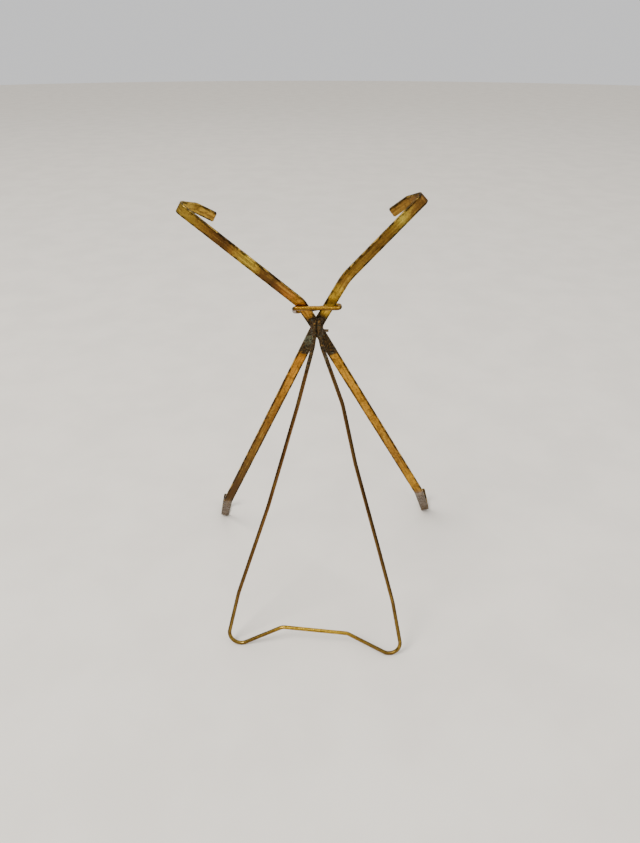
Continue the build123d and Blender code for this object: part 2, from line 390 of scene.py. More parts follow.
def oxide_at(along, upward):
    """How thick the black tarnish lies, at the crossing and on the lower ends."""
    if upward:
        return 1 - smooth(along, *UPPER_TARNISH)
    return max(1 - smooth(along, *LOWER_TARNISH), END_TARNISH_DEPTH * smooth(along, *END_TARNISH))


def green_at(point):
    """How green the crust is, thickest on one side just under the rivet."""
    away = (point - beside(*GREEN_PLACE)).length / MM
    return 0.75 * (1 - smooth(away + 3.4 * wander(point, 1.3), *GREEN_REACH))


def new_piece(name, vertices, faces, edges=()):
    """A new object at the origin with its place in its mesh."""
    mesh = bpy.data.meshes.new(name)
    mesh.from_pydata([tuple(v) for v in vertices], list(edges), faces)
    mesh.update()
    piece = bpy.data.objects.new(name, mesh)
    bpy.context.collection.objects.link(piece)
    return piece


def store(mesh, name, values, kind="FLOAT"):
    """Keeps one value for each vertex of a mesh, for its material to read."""
    attribute = mesh.attributes.new(name, kind, "POINT")
    if kind == "FLOAT":
        attribute.data.foreach_set("value", values)
    elif kind == "FLOAT_VECTOR":
        attribute.data.foreach_set("vector", [v for value in values for v in value])
    else:
        attribute.data.foreach_set("color", [v for value in values for v in (*value, 1.0)])


def finish_faces(piece, material):
    """Smooth faces and one material."""
    piece.data.polygons.foreach_set("use_smooth", [True] * len(piece.data.polygons))
    piece.data.materials.clear()
    piece.data.materials.append(material)


# ---------------------------------------------------------------- flat strips


def heel_drop(sizes, elbow, heel_x, forward):
    """Up of a lower hook's heel, so that the hook stands on the table."""
    thick = sizes.strip_thickness / MM
    wide = sizes.strip_width / MM
    height = RIVET.z / MM
    sideways = abs(heel_x - elbow[0])
    roll = sideways / sqrt(sideways**2 + (height + elbow[1]) ** 2)
    sole = thick / 2 + wide / 2 * roll - HEEL_ROUND
    return -(height - sole + forward * sin(LEAN)) / cos(LEAN)


def arm_corners(sizes, elbow, heel, back, mouth, closing):
    """Corners of an arm from its elbow, round its hook to the lip."""
    x, up, forward = heel
    outward = Vector((x - elbow[0], 0, up - elbow[1])).normalized()
    floor = (mouth + sizes.strip_thickness) / MM
    lip = sizes.lip_length / MM
    floor_way = Vector((0, -cos(radians(closing)), 0)) - outward * sin(radians(closing))
    toe = Vector((x, -forward, up)) + floor_way * floor
    end = toe - outward * lip
    return [beside(elbow[0], back, elbow[1]), beside(x, -forward, up), beside(*toe), beside(*end)]


def half_path(arm, neck, heading, back, step):
    """Path and across directions of a half strip, from the rivet outward."""
    along = RIGHT * sin(radians(heading)) + UP * cos(radians(heading))
    pivot = beside(0, back, 0)
    corners = [pivot, pivot + along * CROSSING_HALF * MM] + neck + arm
    bends = [CROSSING_BEND] + [NECK_BEND_RADIUS] * len(neck) + [ELBOW_BEND, HOOK_BEND, HOOK_BEND]
    points = rounded_path(corners, [bend * MM for bend in bends], step)
    return points, *carried(points, along.cross(BACK))


def strip_section(sizes):
    """Round-edged section as (across, outward, nearness to an edge) in metres."""
    half = sizes.strip_width / 2
    thin = sizes.strip_thickness / 2
    edge = sizes.strip_edge
    section = []
    quarters = [(1, 1, 0), (-1, 1, 90), (-1, -1, 180), (1, -1, 270)]
    for side, face, start in quarters:
        centre = (side * (half - edge), face * (thin - edge))
        for step in range(EDGE_CUTS + 1):
            angle = radians(start + 90 * step / EDGE_CUTS)
            at = (centre[0] + edge * cos(angle), centre[1] + edge * sin(angle))
            section.append((at[0], at[1], 1.0))
        if start in (0, 180):
            for step in range(1, FACE_CUTS):
                share = step / FACE_CUTS
                at = side * (half - edge) * (1 - 2 * share)
                near = max(0.0, 1 - (half - abs(at)) / (EDGE_BAND * MM))
                section.append((at, face * thin, near))
    return section


def flat_strip(sizes, name, upper, lower, upper_tones, lower_tones, material):
    """One flat strip from hook to hook, with its cut edges, dents and tarnish."""
    up_points, up_tangents, up_across = upper
    low_points, low_tangents, low_across = lower
    rows = []
    run = 0.0
    for index in range(len(low_points)):
        if index:
            run += (low_points[index] - low_points[index - 1]).length
        rows.append((-run, low_points[index], -low_tangents[index], -low_across[index]))
    rows = rows[::-1]
    run = 0.0
    for index in range(1, len(up_points)):
        run += (up_points[index] - up_points[index - 1]).length
        rows.append((run, up_points[index], up_tangents[index], up_across[index]))
    section = strip_section(sizes)
    vertices, drawn, edges, tones, oxide, green = [], [], [], [], [], []
    ends = (rows[0][0], rows[-1][0])
    for along, point, tangent, across in rows:
        from_end = min(along - ends[0], ends[1] - along)
        away = smooth(abs(along), 18 * MM, 26 * MM) * smooth(from_end, 0, 3 * MM)
        outward = tangent.cross(across)
        round_off = 1 - 0.22 * (1 - smooth(from_end, 0, 0.6 * MM)) ** 2
        for place, (side, face, near) in enumerate(section):
            key = Vector((along, side * 0.35, face * 0.2))
            stray = wander(key + Vector((0, 0, 0.3)), 3.2) + 0.5 * wander(key, 0.9)
            dent = wander(key + Vector((0.7, 0, 0)), 2.4) + 0.4 * wander(key, 0.7)
            sideways = stray * sizes.edge_wander * away * (1 if side > 0 else -1)
            wide = side * round_off + sideways * near
            deep = face * round_off + dent * sizes.face_dents * away * (1 if face > 0 else -1)
            at = point + across * wide + outward * deep
            vertices.append(at)
            drawn.append((along / MM, side / MM, face / MM))
            edges.append(near)
            stations = upper_tones if along >= 0 else lower_tones
            shift = 2.6 * wander(at, 5.0) + 1.1 * wander(at, 1.3)
            tones.append(tone_at(stations, abs(along) / MM + shift * smooth(abs(along), 0.017, 0.03)))
            ragged = 0.9 * wander(at + Vector((0.5, 0, 0)), 1.1)
            oxide.append(oxide_at(abs(along) / MM + ragged, along >= 0))
            green.append(green_at(at))
    sides = len(section)
    faces = []
    for row in range(len(rows) - 1):
        for place in range(sides):
            beyond = (place + 1) % sides
            first, second = row * sides, (row + 1) * sides
            faces.append((first + place, second + place, second + beyond, first + beyond))
    faces.append(tuple(range(sides)))
    faces.append(tuple(reversed(range((len(rows) - 1) * sides, len(rows) * sides))))
    strip = new_piece(name, vertices, faces)
    store(strip.data, "drawn", drawn, "FLOAT_VECTOR")
    store(strip.data, "edge", edges)
    store(strip.data, "oxide", oxide)
    store(strip.data, "green", green)
    store(strip.data, "tone", tones, "FLOAT_COLOR")
    outward_faces(strip)
    finish_faces(strip, material)
    return strip


def outward_faces(piece):
    """Turns a closed piece's faces outward if their volume comes out negative."""
    mesh = piece.data
    total = 0.0
    for face in mesh.polygons:
        corners = [mesh.vertices[index].co for index in face.vertices]
        for second, third in zip(corners[1:], corners[2:]):
            total += corners[0].dot(second.cross(third))
    if total < 0:
        mesh.flip_normals()


# ---------------------------------------------------------------- wires, by nodes


def fill(tree, made, inputs):
    """Links a node's inputs to sockets, or sets them to values."""
    for slot, value in inputs.items():
        if isinstance(value, bpy.types.NodeSocket):
            tree.links.new(value, made.inputs[slot])
        else:
            made.inputs[slot].default_value = value
    return made


def node(tree, kind, inputs):
    """A new node with its inputs linked or set."""
    return fill(tree, tree.nodes.new(kind), inputs)


def named(tree, name, kind="FLOAT"):
    """A node that reads a value kept on the geometry."""
    reader = tree.nodes.new("GeometryNodeInputNamedAttribute")
    reader.data_type = kind
    return fill(tree, reader, {"Name": name}).outputs["Attribute"]


def keep(tree, geometry, name, value, kind="FLOAT"):
    """A node that keeps a value on each point of the geometry."""
    writer = tree.nodes.new("GeometryNodeStoreNamedAttribute")
    writer.data_type = kind
    writer.domain = "POINT"
    fill(tree, writer, {"Name": name, "Geometry": geometry, "Value": value})
    return writer.outputs["Geometry"]


def reckon(tree, operation, *values, vector=False):
    """A maths node in a shader or geometry tree."""
    sum_node = tree.nodes.new("ShaderNodeVectorMath" if vector else "ShaderNodeMath")
    sum_node.operation = operation
    places = (0, 3) if operation == "SCALE" else (0, 1)
    return fill(tree, sum_node, dict(zip(places, values))).outputs[0]


def times(tree, first, second):
    """One value times another."""
    return reckon(tree, "MULTIPLY", first, second)


def open_tree(name, sockets):
    """A new geometry tree with its geometry and the named inputs."""
    tree = bpy.data.node_groups.new(name, "GeometryNodeTree")
    tree.is_modifier = True
    tree.interface.new_socket("Geometry", in_out="INPUT", socket_type="NodeSocketGeometry")
    for title, kind, default in sockets:
        socket = tree.interface.new_socket(title, in_out="INPUT", socket_type=kind)
        if default is not None:
            socket.default_value = default
    tree.interface.new_socket("Geometry", in_out="OUTPUT", socket_type="NodeSocketGeometry")
    return tree, tree.nodes.new("NodeGroupInput").outputs, tree.nodes.new("NodeGroupOutput").inputs[0]


def close_tree(tree, geometry, material, outlet):
    """Ends a tree with smooth, real geometry and its material."""
    shade = node(tree, "GeometryNodeSetShadeSmooth", {"Geometry": geometry})
    real = node(tree, "GeometryNodeRealizeInstances", {"Geometry": shade.outputs["Geometry"]})
    paint = node(tree, "GeometryNodeSetMaterial", {
        "Geometry": real.outputs["Geometry"], "Material": material,
    })
    tree.links.new(paint.outputs["Geometry"], outlet)


def wire_tree():
    """Geometry nodes that turn a route of edges into drawn wire."""
    tree, given, outlet = open_tree("wire_along_route", [
        ("Wire Diameter", "NodeSocketFloat", 0.0019),
        ("Sides", "NodeSocketInt", 20),
        ("Lumps", "NodeSocketFloat", 0.00003),
        ("Seed", "NodeSocketInt", 3),
        ("Finish", "NodeSocketMaterial", None),
    ])
    route = node(tree, "GeometryNodeMeshToCurve", {"Mesh": given["Geometry"]})
    circle = node(tree, "GeometryNodeCurvePrimitiveCircle", {
        "Resolution": given["Sides"], "Radius": times(tree, given["Wire Diameter"], 0.5),
    })
    place = tree.nodes.new("GeometryNodeInputPosition").outputs[0]
    profile = keep(tree, circle.outputs["Curve"], "section", place, "FLOAT_VECTOR")
    tube = node(tree, "GeometryNodeCurveToMesh", {
        "Curve": route.outputs["Curve"], "Profile Curve": profile,
        "Scale": named(tree, "girth"), "Fill Caps": True,
    })
    section = node(tree, "ShaderNodeSeparateXYZ", {0: named(tree, "section", "FLOAT_VECTOR")}).outputs
    drawn = node(tree, "ShaderNodeCombineXYZ", {
        0: named(tree, "run"), 1: times(tree, section[0], 1 / MM), 2: times(tree, section[1], 1 / MM),
    })
    wire = keep(tree, tube.outputs["Mesh"], "drawn", drawn.outputs[0], "FLOAT_VECTOR")
    lumps = tree.nodes.new("ShaderNodeTexNoise")
    lumps.noise_dimensions = "4D"
    fill(tree, lumps, {"Vector": place, "W": given["Seed"], "Scale": 420.0, "Detail": 3.0})
    height = reckon(tree, "SUBTRACT", lumps.outputs["Fac"], 0.5)
    height = times(tree, times(tree, height, given["Lumps"]), 2.0)
    normal = tree.nodes.new("GeometryNodeInputNormal").outputs["Normal"]
    push = node(tree, "GeometryNodeSetPosition", {
        "Geometry": wire, "Offset": reckon(tree, "SCALE", normal, height, vector=True),
    })
    close_tree(tree, push.outputs["Geometry"], given["Finish"], outlet)
    return tree


def crust_tree():
    """Geometry nodes that scatter small dry grains over the tarnish."""
    tree, given, outlet = open_tree("crust_grains", [
        ("Grain Size", "NodeSocketFloat", 0.0003),
        ("Density", "NodeSocketFloat", 2.4e6),
        ("Seed", "NodeSocketInt", 11),
        ("Finish", "NodeSocketMaterial", None),
    ])
    patches = node(tree, "ShaderNodeTexNoise", {"Scale": 380.0, "Detail": 2.0})
    thick = times(tree, reckon(tree, "SUBTRACT", patches.outputs["Fac"], 0.47), 6.0)
    thick = reckon(tree, "MAXIMUM", reckon(tree, "MINIMUM", thick, 1.0), 0.0)
    thick = times(tree, thick, named(tree, "crust"))
    spots = node(tree, "GeometryNodeDistributePointsOnFaces", {
        "Mesh": given["Geometry"], "Density": times(tree, thick, given["Density"]),
        "Seed": given["Seed"],
    })
    grain = node(tree, "GeometryNodeMeshIcoSphere", {
        "Subdivisions": 2, "Radius": times(tree, given["Grain Size"], 0.5),
    })
    size = tree.nodes.new("FunctionNodeRandomValue")
    size.data_type = "FLOAT_VECTOR"
    fill(tree, size, {"Min": (0.3, 0.3, 0.2), "Max": (1.0, 1.0, 0.6), "Seed": given["Seed"]})
    place = node(tree, "GeometryNodeInstanceOnPoints", {
        "Points": spots.outputs["Points"], "Rotation": spots.outputs["Rotation"],
        "Instance": grain.outputs["Mesh"], "Scale": size.outputs["Value"],
    })
    close_tree(tree, place.outputs["Instances"], given["Finish"], outlet)
    return tree


def grown(source, name, tree, **settings):
    """The plain mesh that a tree makes of a source object, as a new piece."""
    modifier = source.modifiers.new("grow", "NODES")
    modifier.node_group = tree
    for item in tree.interface.items_tree:
        if item.in_out == "INPUT" and item.name in settings:
            modifier[item.identifier] = settings[item.name]
    source.update_tag()
    graph = bpy.context.evaluated_depsgraph_get()
    mesh = bpy.data.meshes.new_from_object(source.evaluated_get(graph), depsgraph=graph)
    source.modifiers.remove(modifier)
    mesh.name = name
    piece = bpy.data.objects.new(name, mesh)
    bpy.context.collection.objects.link(piece)
    return piece


def route_object(name, runs):
    """Edges for the wire tree, each vertex with its run, colour, tarnish and girth.

    Each run is (points, closed, its colours, whether its end is rounded, its tarnish). The
    colours are a function of a point, its distance and the whole distance in millimetres.
    """
    vertices, edges, reach, tones, oxide, girth = [], [], [], [], [], []
    for points, closed, colours_at, round_end, tarnish_at in runs:
        first = len(vertices)
        along = 0.0
        total = sum((b - a).length for a, b in zip(points, points[1:])) / MM
        for index, point in enumerate(points):
            if index:
                along += (point - points[index - 1]).length / MM
            vertices.append(point)
            reach.append(along)
            tones.append(colours_at(point, along, total))
            oxide.append(tarnish_at(point))
            taper = 1 - min(1.0, (total - along) / WIRE_END_ROUND) if round_end else 0.0
            girth.append(sqrt(max(0.02, 1 - taper**2)))
        count = len(points)
        edges += [(first + i, first + i + 1) for i in range(count - 1)]
        if closed:
            edges.append((first + count - 1, first))
    source = new_piece(name, vertices, [], edges)
    store(source.data, "run", reach)
    store(source.data, "oxide", oxide)
    store(source.data, "green", [green_at(point) for point in vertices])
    store(source.data, "girth", girth)
    store(source.data, "tone", tones, "FLOAT_COLOR")
    return source


# ---------------------------------------------------------------- turned pieces


def turned_piece(name, outline, origin, axis, unevenness, seed, material):
    """A piece turned from an outline of (radius, distance along the axis), in millimetres."""
    sides = TURNED_SIDES
    first = axis.orthogonal().normalized()
    second = axis.cross(first)
    vertices, faces = [], []
    for radius, along in outline:
        for side in range(sides):
            angle = 2 * pi * side / sides
            spoke = first * cos(angle) + second * sin(angle)
            key = Vector((cos(angle) * radius, sin(angle) * radius, along + seed)) * 0.9
            stray = 1 + unevenness * noise.noise(key)
            sink = unevenness * 0.35 * noise.noise(key * 1.7 + Vector((3, 1, 0)))
            vertices.append(origin + (spoke * radius * stray + axis * (along + sink)) * MM)
    rows = len(outline)
    for row in range(rows - 1):
        for side in range(sides):
            beyond = (side + 1) % sides
            faces.append((row * sides + side, (row + 1) * sides + side,
                          (row + 1) * sides + beyond, row * sides + beyond))
    if outline[0] == outline[-1]:
        piece = new_piece(name, vertices[:-sides], [
            tuple(index % ((rows - 1) * sides) for index in face) for face in faces
        ])
    else:
        start, end = len(vertices), len(vertices) + 1
        vertices += [origin + axis * outline[0][1] * MM, origin + axis * outline[-1][1] * MM]
        last = (rows - 1) * sides
        faces += [(start, side, (side + 1) % sides) for side in range(sides)]
        faces += [(end, last + (side + 1) % sides, last + side) for side in range(sides)]
        piece = new_piece(name, vertices, faces)
    outward_faces(piece)
    finish_faces(piece, material)
    return piece


def quarter(centre, radius, start, stop, steps=6):
    """Points of an arc in a turned outline, angles in degrees from outward."""
    angles = [radians(start + (stop - start) * step / steps) for step in range(steps + 1)]
    return [(centre[0] + radius * cos(a), centre[1] + radius * sin(a)) for a in angles]


def filled(outline, step):
    """An outline with points no further apart than the step."""
    result = []
    for start, end in zip(outline, outline[1:]):
        gap = sqrt((end[0] - start[0]) ** 2 + (end[1] - start[1]) ** 2)
        cuts = max(1, ceil(gap / step))
        for cut in range(cuts):
            share = cut / cuts
            result.append(tuple(a + (b - a) * share for a, b in zip(start, end)))
    return result + [outline[-1]]


# ---------------------------------------------------------------- materials


def noise_at(tree, vector, scale, detail=4.0, roughness=0.55, shift=0.0):
    """Noise with features of about 1/scale millimetres."""
    texture = tree.nodes.new("ShaderNodeTexNoise")
    texture.noise_dimensions = "4D"
    fill(tree, texture, {
        "Vector": vector, "W": shift, "Scale": scale, "Detail": detail, "Roughness": roughness,
    })
    return texture.outputs["Fac"]


def between(tree, value, low, high, start=0.0, end=1.0):
    """Maps a value's range smoothly onto another, held at its ends."""
    ranged = tree.nodes.new("ShaderNodeMapRange")
    ranged.interpolation_type = "SMOOTHSTEP"
    return fill(tree, ranged, {"Value": value, 1: low, 2: high, 3: start, 4: end}).outputs["Result"]


def blend(tree, factor, first, second):
    """Mixes two colours."""
    first, second = [tone if isinstance(tone, bpy.types.NodeSocket) else (*tone, 1.0)
                     for tone in (first, second)]
    mixer = tree.nodes.new("ShaderNodeMix")
    mixer.data_type = "RGBA"
    mixer.clamp_factor = True
    return fill(tree, mixer, {0: factor, 6: first, 7: second}).outputs[2]


def kept_value(tree, name, output="Fac"):
    """Reads a value that the mesh keeps for its material."""
    reader = tree.nodes.new("ShaderNodeAttribute")
    reader.attribute_name = name
    return reader.outputs[output]


def stretched(tree, vector, factors):
    """A vector scaled along each axis."""
    return reckon(tree, "MULTIPLY", vector, factors, vector=True)


def millimetres(tree):
    """Object coordinates in millimetres."""
    places = tree.nodes.new("ShaderNodeTexCoord").outputs["Object"]
    return reckon(tree, "SCALE", places, 1000.0, vector=True)


def new_material(name):
    """An empty node material and its shader."""
    material = bpy.data.materials.new(name)
    material.use_nodes = True
    return material, material.node_tree, material.node_tree.nodes["Principled BSDF"]


def bumped(tree, shader, layers):
    """Chains bump layers of (height, depth in millimetres)."""
    normal = None
    for height, depth in layers:
        bump = node(tree, "ShaderNodeBump", {"Strength": 1.0, "Distance": depth * MM, "Height": height})
        if normal:
            tree.links.new(normal, bump.inputs["Normal"])
        normal = bump.outputs["Normal"]
    tree.links.new(normal, shader.inputs["Normal"])


def drawn_brass(name, colours, streak, rub, edge_dirt_and_shade, rough, painted_wire_shade=0.0):
    """Brass strip or wire with tarnish that follows its length, read from the mesh, and painted shade.
    """
    material, tree, shader = new_material(name)
    place = millimetres(tree)
    drawn = kept_value(tree, "drawn", "Vector")
    tone = kept_value(tree, "tone", "Color")
    oxide = kept_value(tree, "oxide")
    lengthwise = stretched(tree, drawn, (0.12, 2.6, 2.6))
    streaks = noise_at(tree, lengthwise, streak, 5.0, 0.6)
    fine_lines = noise_at(tree, stretched(tree, drawn, (0.25, 14.0, 14.0)), 1.0, 3.0, 0.5, 2.0)
    mottle = noise_at(tree, place, 0.34, 6.0, 0.62, 5.0)
    cloud = noise_at(tree, place, 1.1, 5.0, 0.6, 9.0)
    speckle = noise_at(tree, place, 3.6, 3.0, 0.55, 4.0)
    pits = between(tree, noise_at(tree, place, 2.3, 2.0, 0.5, 7.0), 0.62, 0.71)
    tiny_pits = between(tree, noise_at(tree, place, 6.5, 2.0, 0.5, 1.0), 0.62, 0.72)

    brown = tuple(colours.brown)
    black = tuple(colours.black)
    bright = blend(tree, 0.45, tone, tuple(colours.polished))
    surface = blend(tree, between(tree, streaks, 0.5, 0.74, 0.0, rub), tone, bright)
    surface = blend(tree, between(tree, streaks, 0.5, 0.36, 0.0, 0.75), surface, brown)
    dull = times(tree, between(tree, mottle, 0.48, 0.62), 0.74)
    surface = blend(tree, dull, surface, blend(tree, 0.65, tone, brown))
    for spots, low, high, most, stain in (
        (cloud, 0.5, 0.66, 0.6, brown), (speckle, 0.54, 0.68, 0.55, brown),
        (fine_lines, 0.58, 0.75, 0.3, black),
    ):
        surface = blend(tree, between(tree, spots, low, high, 0.0, most), surface, stain)
    for holes, most in ((pits, 0.85), (tiny_pits, 0.5)):
        surface = blend(tree, times(tree, holes, most), surface, black)

    # Along the strips' edges the colour goes black: partly dirt, and partly painted shade on the edges'
    # thickness, which faces away from the light.
    if edge_dirt_and_shade:
        edge = kept_value(tree, "edge")
        worn = noise_at(tree, stretched(tree, drawn, (0.3, 0.6, 0.6)), 1.0, 4.0, 0.6, 12.0)
        line = between(tree, edge, 0.1, 0.7)
        shaded = times(tree, line, between(tree, worn, 0.38, 0.6, 0.3, edge_dirt_and_shade))
        surface = blend(tree, shaded, surface, black)
        bites = noise_at(tree, stretched(tree, drawn, (0.55, 1.1, 1.1)), 1.0, 3.0, 0.6, 27.0)
        bitten = times(tree, between(tree, bites, 0.53, 0.59), between(tree, edge, 0.0, 0.45))
        surface = blend(tree, times(tree, bitten, 0.85), surface, black)
        # The rounded edges get patches of bright brass: partly rubbed brass, partly a painted highlight.
        rim = times(tree, between(tree, edge, 0.93, 1.0), between(tree, worn, 0.4, 0.52, 0.4, 0.0))
        surface = blend(tree, rim, surface, tuple(colours.polished))

    # Painted shade on the wires: the underside is painted brown and the side facing away from the middle
    # is painted black, where less light falls.
    if painted_wire_shade:
        facing = tree.nodes.new("ShaderNodeSeparateXYZ")
        tree.links.new(tree.nodes.new("ShaderNodeNewGeometry").outputs["Normal"], facing.inputs[0])
        below = between(tree, facing.outputs[2], 0.45, -0.35, 0.0, painted_wire_shade)
        surface = blend(tree, below, surface, brown)
        where = tree.nodes.new("ShaderNodeSeparateXYZ")
        tree.links.new(place, where.inputs[0])
        side = between(tree, where.outputs[0], -12.0, 22.0, -1.0, 1.0)
        outward = times(tree, facing.outputs[0], side)
        outer = between(tree, outward, 0.05, 0.75, 0.0, 0.85)
        surface = blend(tree, times(tree, outer, painted_wire_shade), surface, black)

    crust = noise_at(tree, place, 1.5, 6.0, 0.7, 15.0)
    scab = noise_at(tree, place, 0.75, 4.0, 0.6, 21.0)
    crusty = blend(tree, between(tree, crust, 0.42, 0.58), black, linear(CRUST_BROWN))
    crusty = blend(tree, between(tree, cloud, 0.56, 0.66, 0.0, 0.6), crusty, linear(CRUST_GOLD))
    green = between(tree, scab, 0.54, 0.66, 0.0, 0.6)
    green = reckon(tree, "MAXIMUM", green, kept_value(tree, "green"))
    green = times(tree, green, between(tree, crust, 0.4, 0.54))
    crusty = blend(tree, times(tree, green, 0.9), crusty, tuple(colours.verdigris))
    ragged = times(tree, reckon(tree, "SUBTRACT", crust, 0.5), 0.7)
    over = between(tree, reckon(tree, "ADD", oxide, ragged), 0.4, 0.6)
    surface = blend(tree, over, surface, crusty)

    spoiled = reckon(tree, "MAXIMUM", over, times(tree, pits, 0.6))
    gloss = between(tree, mottle, 0.35, 0.7, rough - 0.08, rough + 0.16)
    gloss = reckon(tree, "ADD", gloss, between(tree, cloud, 0.5, 0.75, 0.0, 0.14))
    gloss = reckon(tree, "ADD", gloss, times(tree, spoiled, 0.34))
    fill(tree, shader, {
        "Base Color": surface,
        "Metallic": between(tree, spoiled, 0.0, 1.0, 1.0, 0.25),
        "Roughness": reckon(tree, "MINIMUM", gloss, 0.95),
        "Specular IOR Level": between(tree, over, 0.0, 1.0, 0.5, 0.12),
    })
    rise = times(tree, crust, over)
    bumped(tree, shader, [
        (fine_lines, 0.006), (streaks, 0.02), (mottle, 0.05),
        (times(tree, pits, -1.0), 0.05),
        (times(tree, tiny_pits, -1.0), 0.02), (rise, 0.35),
    ])
    return material


def tarnished_brass(name, colours, greenness, shine):
    """Black and brown tarnish with verdigris, for the small pieces at the crossing."""
    material, tree, shader = new_material(name)
    place = millimetres(tree)
    crust = noise_at(tree, place, 1.7, 6.0, 0.7, 15.0)
    scab = noise_at(tree, place, 0.8, 4.0, 0.6, 21.0)
    grit = noise_at(tree, place, 7.0, 3.0, 0.6, 2.0)
    rubbed = between(tree, noise_at(tree, place, 1.2, 5.0, 0.6, 31.0), 0.56, 0.68, 0.0, shine)
    surface = blend(tree, between(tree, crust, 0.4, 0.62), tuple(colours.black), tuple(colours.brown))
    surface = blend(tree, rubbed, surface, linear(RUBBED_HIGH))
    green = times(tree, between(tree, scab, 0.5, 0.64), between(tree, crust, 0.42, 0.6))
    green = times(tree, green, greenness)
    surface = blend(tree, green, surface, tuple(colours.verdigris))
    surface = blend(tree, between(tree, grit, 0.58, 0.72, 0.0, 0.6), surface, tuple(colours.black))
    dry = between(tree, crust, 0.3, 0.7, 0.62, 0.86)
    fill(tree, shader, {
        "Base Color": surface, "Metallic": between(tree, rubbed, 0.0, 0.6, 0.35, 0.95),
        "Roughness": reckon(tree, "ADD", dry, times(tree, rubbed, -0.3)),
    })
    bumped(tree, shader, [(grit, 0.04), (crust, 0.22), (scab, 0.15)])
    return material


def plain_floor(colours):
    """A plain pale floor with a faint matt unevenness."""
    material, tree, shader = new_material("pale_floor")
    place = millimetres(tree)
    tone = tuple(colours.floor)
    darker = tuple(value * 0.94 for value in tone)
    surface = blend(tree, between(tree, noise_at(tree, place, 0.02, 3.0), 0.35, 0.65), tone, darker)
    dullness = between(tree, noise_at(tree, place, 0.9, 3.0), 0.3, 0.7, 0.82, 0.92)
    fill(tree, shader, {"Base Color": surface, "Roughness": dullness})
    return material


def easel(context):
    """The sizes and colours of the scene."""
    return context.scene.easel_sizes, context.scene.easel_colours


def strip_brass(colours):
    """The strips' material, made once."""
    found = bpy.data.materials.get("strip_brass_worn")
    # 0.85 is the strength of the dark edges, partly dirt and partly painted shade.
    return found or drawn_brass("strip_brass_worn", colours, 0.5, 0.75, 0.85, 0.36)


# ---------------------------------------------------------------- operators


class EASEL_OT_strips(bpy.types.Operator):
    """Make the two flat strips with their hooks"""

    bl_idname = "easel.strips"
    bl_label = "Flat Strips"

    def execute(self, context):
        sizes, colours = easel(context)
        step = STRIP_STEP * MM
        layer = (sizes.strip_thickness + sizes.strip_gap) / 2 / MM
        left_x, left_forward = LOWER_LEFT_HEEL
        right_x, right_forward = LOWER_RIGHT_HEEL
        left_up = heel_drop(sizes, LOWER_LEFT_ELBOW, left_x, left_forward)
        right_up = heel_drop(sizes, LOWER_RIGHT_ELBOW, right_x, right_forward)
        plans = [
            ("rear_strip_worn", "rear_strip", "frame", layer, REAR_HEADING,
             [beside(NECK_BEND[0], layer, NECK_BEND[1])], UPPER_RIGHT_ELBOW, UPPER_RIGHT_HEEL,
             LOWER_LEFT_ELBOW, (left_x, left_up, left_forward), UPPER_RIGHT_TONES, LOWER_LEFT_TONES),
            ("front_strip_worn", "front_strip", "scissor_arm", -layer, FRONT_HEADING,
             [], UPPER_LEFT_ELBOW, UPPER_LEFT_HEEL,
             LOWER_RIGHT_ELBOW, (right_x, right_up, right_forward), UPPER_LEFT_TONES, LOWER_RIGHT_TONES),
        ]
        for (name, node, body, back, heading, neck, top_elbow, top_heel,
             low_elbow, low_heel, top_tones, low_tones) in plans:
            top = arm_corners(sizes, top_elbow, top_heel, back, sizes.upper_mouth, UPPER_HOOK_CLOSING)
            low = arm_corners(sizes, low_elbow, low_heel, back, sizes.lower_mouth, 0.0)
            upper = half_path(top, neck, heading, back, step)
            lower = half_path(low, [], heading + 180, back, step)
            strip = flat_strip(sizes, name, upper, lower, top_tones, low_tones, strip_brass(colours))
            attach(strip, body)
            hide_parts(node)
        return {"FINISHED"}


class EASEL_OT_leg(bpy.types.Operator):
    """Make the wire leg with its two eyes"""

    bl_idname = "easel.leg"
    bl_label = "Wire Leg"

    def execute(self, context):
        sizes, colours = easel(context)
        # The last figure is the strength of the painted shade on the wire's underside and outer sides.
        finish = drawn_brass("leg_brass_brown", colours, 0.7, 0.75, 0.0, 0.27, 0.8)
        source = leg_route(sizes)
        leg = grown(source, "wire_leg", wire_tree(), Finish=finish, **{
            "Wire Diameter": sizes.leg_wire, "Sides": LEG_SIDES, "Lumps": sizes.wire_lumps, "Seed": 3,
        })
        bpy.data.objects.remove(source)
        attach(leg, "leg")
        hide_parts("easel_leg")
        return {"FINISHED"}


